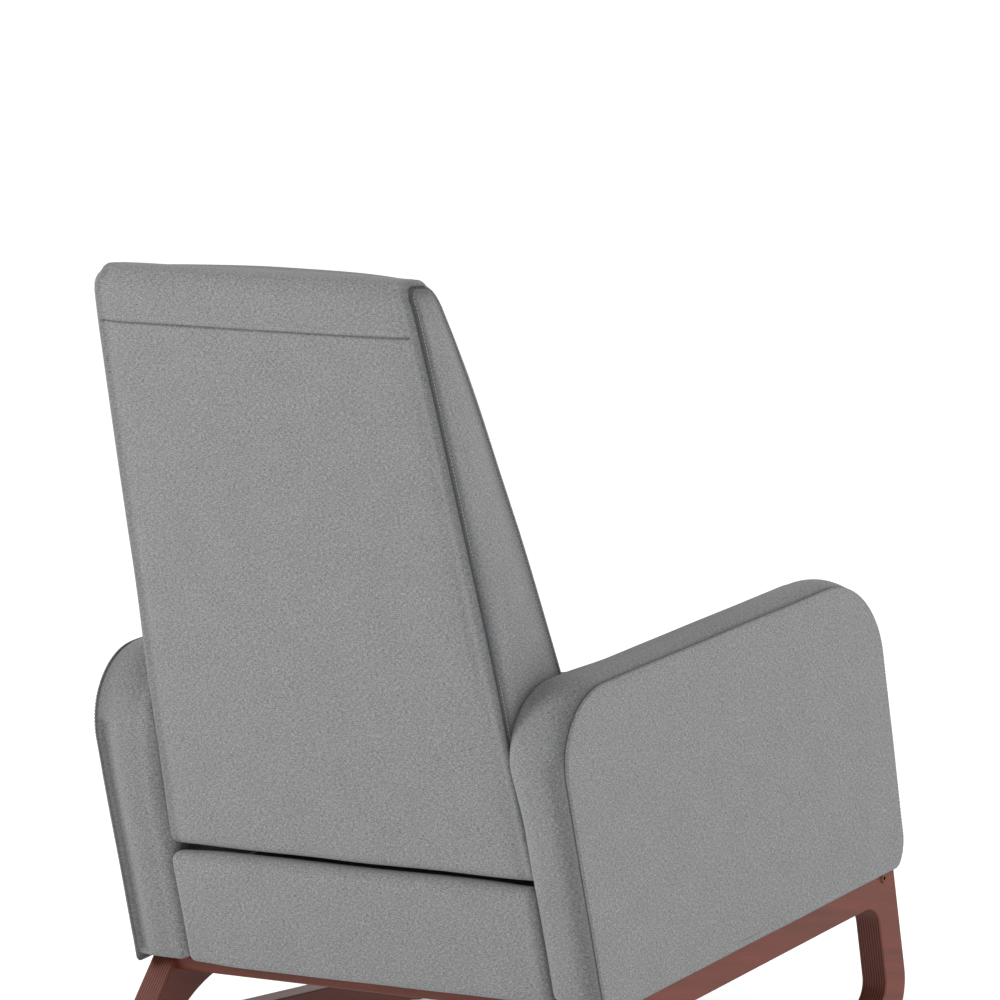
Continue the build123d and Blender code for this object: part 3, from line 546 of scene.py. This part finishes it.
# ------------------------------------------------------------------ topstitching
def stitches(name, path, normals, body, length=3.6, gap=0.9, thick=0.36):
    """One mesh of small thread stitches along a path that lies on a cover."""
    line = bpy.data.curves.new("stitch_line", "CURVE")
    line.dimensions = "3D"
    spline = line.splines.new("POLY")
    spline.points.add(len(path) - 1)
    for point, spot, up in zip(spline.points, path, normals):
        point.co = (*(spot + up * (0.12 * MM)), 1)
    guide = bpy.data.objects.new("stitch_line", line)
    bpy.context.scene.collection.objects.link(guide)
    bm = bmesh.new()
    bmesh.ops.create_icosphere(bm, subdivisions=1, radius=1)
    bmesh.ops.scale(bm, vec=(length / 2 * MM, thick * MM, thick * MM), verts=bm.verts)
    bmesh.ops.translate(bm, vec=(length / 2 * MM, 0, 0), verts=bm.verts)
    one = place("one_stitch", bm, THREAD)
    total = sum((path[k + 1] - path[k]).length for k in range(len(path) - 1))
    row = one.modifiers.new("row", "ARRAY")
    row.use_relative_offset = False
    row.use_constant_offset = True
    row.constant_offset_displace = ((length + gap) * MM, 0, 0)
    row.count = int(total / MM / (length + gap))
    follow = one.modifiers.new("follow", "CURVE")
    follow.object = guide
    mesh = bpy.data.meshes.new_from_object(one.evaluated_get(bpy.context.evaluated_depsgraph_get()))
    obj = bpy.data.objects.new(name, mesh)
    bpy.context.scene.collection.objects.link(obj)
    bpy.data.objects.remove(one)
    bpy.data.objects.remove(guide)
    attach(obj, body)
    return obj


def edge_path(outline, side, sign, inset, depth, keep=lambda p: True):
    """A path and its normals on an end panel, inset from its outline, where keep(point) holds."""
    flags = [keep(p) for p in outline]
    start = next(i for i in range(len(flags)) if flags[i] and not flags[i - 1])
    normals = outward(outline)
    points, ups = [], []
    for k in range(len(outline)):
        i = (start + k) % len(outline)
        if not flags[i]:
            break
        n = normals[i]
        q = outline[i] - n * (inset * MM)
        points.append(Vector((side(q) - sign * depth * MM, q.x, q.y)))
        ups.append(Vector((sign, n.x * 0.3, n.y * 0.3)).normalized())
    return points, ups


# ------------------------------------------------------------------ arms
INNER_EDGE = round_edge(22.0)
SKIRT = 9.5


def make_arm(side, sign):
    """One arm's cover: crowned outer panel with a topstitched seam, boxing strip, rounded inner edge."""
    nodes = [f"arm_band_{side}", f"arm_outer_panel_{side}", f"arm_inner_panel_{side}"]
    outline = resample([p + n * MM for p, n in outlined(nodes[1:2])], 6.5 * MM)
    low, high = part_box(nodes[2])
    inner = low.x if sign > 0 else high.x
    low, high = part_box(nodes[1])
    outer = high.x if sign > 0 else low.x

    def inner_side(p):
        bulge = 3.0 + 8.0 * smooth((p.y - 0.34) / 0.1) * smooth((p.x - 0.1) / 0.1)
        return inner - sign * bulge * MM

    def boxing(n, near, far, p):
        """Crowned over the top, hollow beside the outer seam behind."""
        u = near / (near + far)
        if n.y > 0.0:
            return (3.0 + 4.0 * smooth(n.y / 0.7)) * sin(pi * u) ** 0.7
        if n.y < -0.7:
            return 0.0
        hollow = 6.0 * exp(-(((near - 9) / 11) ** 2)) if n.x > 0 else 0.0
        return 3.0 * sin(pi * u) - hollow

    def arm_painted_shade(n, near, far, p):
        """Painted shade: soft in the hollow beside the outer seam, dark along its groove, and faint over the boxing
        behind.
        """
        if n.y < -0.7:
            return 0.0
        behind = smooth(n.x / 0.8)
        outer_hollow = exp(-(((near - 8) / 13) ** 2)) * (0.12 + 0.3 * behind)
        return outer_hollow + 0.1 * behind + 0.5 * exp(-(near - GROOVE) / 1.2)

    outer_side = lambda p: outer
    if sign > 0:
        arm = wrap(f"arm_cover_{side}", outline, (outer_side, inner_side), (SEAM_EDGE, INNER_EDGE), TWEED, 2.2,
                   boxing, 5.5, SKIRT, arm_painted_shade)
    else:
        arm = wrap(f"arm_cover_{side}", outline, (inner_side, outer_side), (INNER_EDGE, SEAM_EDGE), TWEED, 2.2,
                   lambda n, a, b, p: boxing(n, b, a, p), 5.5, SKIRT, lambda n, a, b, p: arm_painted_shade(n, b, a, p))
    settle(arm, 120.0, 0.9, sign)
    open_below(arm, f"side_frame_{side}")
    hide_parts(*nodes)
    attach(arm, "seat")
    foot = min(p.y for p in outline)
    above = lambda p: p.y > foot + 0.018 + max(0.0, (0.2 - p.x) * 0.153)
    path, ups = edge_path(outline, outer_side, sign, 3.4, 0.0, above)
    stitches(f"arm_topstitch_{side}", path, ups, "seat")


def outlined(nodes):
    """The side outline of some CAD nodes, as (point, outward normal)."""
    points = side_outline(nodes)
    return zip(points, outward(points))


def open_below(arm, rail):
    """Cut a slot in the arm's underside, over the side rail, where the glide brackets stand."""
    low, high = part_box(rail)
    middle, reach = (low.x + high.x) / 2, 20 * MM
    bm = bmesh.new()
    bm.from_mesh(arm.data)
    under = []
    for face in bm.faces:
        spot = face.calc_center_median()
        if face.normal.z < -0.9 and abs(spot.x - middle) < reach and -0.41 < spot.y < 0.19:
            under.append(face)
    bmesh.ops.delete(bm, geom=under, context="FACES")
    bm.to_mesh(arm.data)
    bm.free()
    wall = arm.modifiers.new("cloth_wall", "SOLIDIFY")
    wall.thickness = 2 * MM
    wall.offset = -1


for side, sign in SIDES:
    make_arm(side, sign)

# ------------------------------------------------------------------ backrest
BACK_NODES = ["back_pad", "outside_back"]
low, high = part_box("outside_back")
BACK_LEAN = radians(16.2)
BACK_FOOT_HALF = high.x + 6 * MM
BACK_TAPER = 0.0585
BACK_FLARE, FLARE_REACH, FLARE_TOP = 0.12, 40 * MM, 0.52
FOLD_Z = high.z - 58 * MM
FOLD_PULL = 0.02
REAR_ROLL, ROLL_DEPTH = 30.0, 2.5
SIDE_CROWN, CROWN_RISE, CROWN_FOOT = 8.0, 13 * MM, 0.42
TOP_THICKNESS, THICKENING = 68 * MM, 0.17
TOP_ROUND = 26 * MM


def rear_y(z):
    """Where the back's flat rear is at a height."""
    return high.y - (high.z - z) * tan(BACK_LEAN)


def back_side(p):
    """Half the back's width at an outline point: less toward the top and toward the front."""
    forward = max(0.0, min(FLARE_REACH, rear_y(p.y) - p.x))
    flare = forward * BACK_FLARE * smooth((FLARE_TOP - p.y) / 0.1)
    fold = max(0.0, p.y - FOLD_Z) * FOLD_PULL
    behind = max(0.0, rear_y(p.y) - p.x)
    thick = TOP_THICKNESS + (1.0 - p.y) * THICKENING
    crown = SIDE_CROWN * MM * (1 - exp(-behind / CROWN_RISE)) * (1 - smooth((behind / thick - 0.4) / 0.6))
    over = max(0.0, min(TOP_ROUND, p.y - high.z + TOP_ROUND))
    corner = 0.4 * (TOP_ROUND - sqrt(TOP_ROUND**2 - over**2))
    crown *= smooth((p.y - CROWN_FOOT) / 0.15)
    return BACK_FOOT_HALF - (p.y - low.z) * BACK_TAPER - flare - fold - corner + crown


def back_swell(n, near, far, p):
    """How far the strip stands out: rolled off beside the seams behind, soft in front."""
    edge = min(near, far)
    bow = (4 * near * far / (near + far) ** 2) ** 0.6
    if n.x < -0.5:
        return 13.0 * bow
    if n.x > 0.5:
        groove = exp(-(((p.y - FOLD_Z) / MM / 1.2) ** 2)) * 2.4
        roll = ROLL_DEPTH * (1 - smooth(edge / REAR_ROLL))
        return 2.0 * bow - roll - groove + (0.6 if p.y > FOLD_Z else 0.0)
    return 1.0 * bow


def back_painted_shade(n, near, far, p):
    """Painted shade beside the side seams and in the fold seam behind."""
    seam = 0.16 * exp((WELT_LINE - min(near, far)) / 7.0)
    fold = 0.7 * exp(-(((p.y - FOLD_Z) / MM / 1.3) ** 2)) if n.x > 0.5 else 0.0
    return min(1.0, seam + fold)


outline = side_outline(BACK_NODES)
rear_at_fold = Vector((rear_y(FOLD_Z), FOLD_Z))
back_outline = resample(outline, 7 * MM, [rear_at_fold])
back = wrap("back_cover", back_outline, (back_side, lambda p: -back_side(p)), (WELT_EDGE, WELT_EDGE), TWEED, 0.5,
            back_swell, 13.0, 0.0, back_painted_shade)
settle(back, 140.0, 1.4, 3.0)
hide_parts(*BACK_NODES)
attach(back, "back")
for side, sign in SIDES:
    edge = lambda p: sign * back_side(p)
    above = lambda p: p.y > low.z + 0.02 and not (p.x < 0.24 and p.y < 0.4)
    path, ups = edge_path(back_outline, edge, sign, 12.0, 1.0, above)
    stitches(f"back_topstitch_{side}", path, ups, "back")


def fold_stitches():
    """Topstitching across the rear, just above the fold seam."""
    z = FOLD_Z + 7 * MM
    rear = Vector((0, cos(BACK_LEAN), -sin(BACK_LEAN)))
    half = back_side(Vector((rear_y(z), z))) - 7 * MM
    path, ups = [], []
    for k in range(81):
        x = half * (1 - k / 40)
        hit, spot, normal, _ = back.ray_cast(Vector((x, rear_y(z), z)) + rear * 0.05, -rear)
        if hit:
            path.append(spot)
            ups.append(normal)
    stitches("back_fold_topstitch", path, ups, "back")


fold_stitches()


# ------------------------------------------------------------------ seat cushion, rear panel and apron
def bolster(name, node, edge, edge_step, crown, swell, wider=0.0, across=12.0):
    """A wrapped pad across the chair, in the space of its CAD node."""
    lo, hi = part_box(node)
    rim = resample(side_outline([node]), edge_step * MM)
    half = hi.x + (wider - crown * 0.6) * MM
    pad = wrap(name, rim, (lambda p: half, lambda p: -half), (edge, edge), TWEED, crown, swell, across)
    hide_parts(node)
    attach(pad, "seat")
    return pad, rim


def soft_face(height):
    """A swell that rises to height within a hand's breadth of the ends."""
    return lambda n, near, far, p: height * smooth(min(near, far) / 60)


panel, _ = bolster("rear_panel_cover", "lower_rear_panel", round_edge(11.0), 4.0, 1.0, soft_face(2.0), 2.0)
settle(panel, 110.0, 0.8, 5.0)
apron, _ = bolster("front_apron_cover", "front_apron", round_edge(8.0), 4.0, 0.5, soft_face(1.2))
settle(apron, 110.0, 0.6, 7.0)


def inflate(pad, voxel=7.0, pressure=4.0, cap=9.0):
    """Swell a plain pad by cloth simulation, keep how far each point went under cap, and smooth it."""
    bpy.context.view_layer.objects.active = pad
    remesh = pad.modifiers.new("even", "REMESH")
    remesh.mode = "VOXEL"
    remesh.voxel_size = voxel * MM
    bpy.ops.object.modifier_apply(modifier=remesh.name)
    before = [v.co.copy() for v in pad.data.vertices]
    cloth = pad.modifiers.new("swell", "CLOTH")
    cloth.settings.use_pressure = True
    cloth.settings.uniform_pressure_force = pressure
    cloth.settings.effector_weights.gravity = 0
    cloth.settings.quality = 4
    for step in range(1, 21):
        bpy.context.scene.frame_set(step)
    bpy.ops.object.modifier_apply(modifier=cloth.name)
    bpy.context.scene.frame_set(1)
    for vert, start in zip(pad.data.vertices, before):
        moved = vert.co - start
        if moved.length > cap * MM:
            vert.co = start + moved.normalized() * (cap * MM)
    for face in pad.data.polygons:
        face.use_smooth = True
    lay_cloth(pad)


def cushion_face(n, near, far, p):
    """Crowned top and front, flat where it lies on the deck."""
    bow = (4 * near * far / (near + far) ** 2) ** 0.7
    return (5.0 if n.y > 0.4 else 3.0 if n.x < -0.4 else -1.0) * bow


cushion, cushion_rim = bolster("seat_cushion_cover", "seat_cushion", round_edge(14.0), 8.0, 2.0, cushion_face, -6.0)
inflate(cushion)
settle(cushion, 100.0, 1.4, 9.0)

# ------------------------------------------------------------------ floor, light and camera
def stage():
    """Pale floor, soft studio light."""
    bm = bmesh.new()
    bmesh.ops.create_grid(bm, x_segments=1, y_segments=1, size=60)
    material, tree, shader = new_material("pale_floor", 0.6, Emission_Color=(1, 1, 1, 1), Emission_Strength=0.3)
    drift = speckle(tree, coordinates(tree), 2.0, 2.0)
    tree.links.new(mix(tree, drift, (0.93, 0.93, 0.93), (0.95, 0.95, 0.95)), shader.inputs["Base Color"])
    floor = place("floor", bm, material, False)
    world = bpy.data.worlds.new("studio")
    bpy.context.scene.world = world
    world.use_nodes = True
    world.node_tree.nodes["Background"].inputs["Color"].default_value = (1, 1, 1, 1)
    world.node_tree.nodes["Background"].inputs["Strength"].default_value = 0.8


def soft_light(name, spot, aim, size, power, colour=(1, 1, 1)):
    """A square area light that looks at a point."""
    data = bpy.data.lights.new(name, "AREA")
    data.size = size
    data.energy = power
    data.color = colour
    lamp = bpy.data.objects.new(name, data)
    bpy.context.scene.collection.objects.link(lamp)
    lamp.location = spot
    lamp.rotation_mode = "QUATERNION"
    lamp.rotation_quaternion = (Vector(aim) - Vector(spot)).to_track_quat("-Z", "Y")


stage()
soft_light("key", (3.6, 3.6, 2.2), (0, 0, 0.5), 1.8, 150)
soft_light("fill", (-4.2, -1.0, 1.6), (0, 0, 0.5), 2.5, 66)

VIEW_AZIMUTH, VIEW_ELEVATION, VIEW_DISTANCE = 215.0, 7.3, 9.467
camera_data = bpy.data.cameras.new("camera")
camera_data.lens = 288.0
camera_data.clip_end = 200.0
camera = bpy.data.objects.new("camera", camera_data)
bpy.context.scene.collection.objects.link(camera)
turn, lift = radians(VIEW_AZIMUTH), radians(VIEW_ELEVATION)
back_along = Vector((sin(turn) * cos(lift), -cos(turn) * cos(lift), sin(lift)))
camera.location = Vector((-0.198, 0.212, 0.548)) + back_along * VIEW_DISTANCE
aim = Vector((-0.185, 0.1935, 0.724))
camera.rotation_mode = "QUATERNION"
camera.rotation_quaternion = (aim - camera.location).to_track_quat("-Z", "Y")
bpy.context.scene.camera = camera
bpy.context.scene.view_settings.view_transform = "Standard"
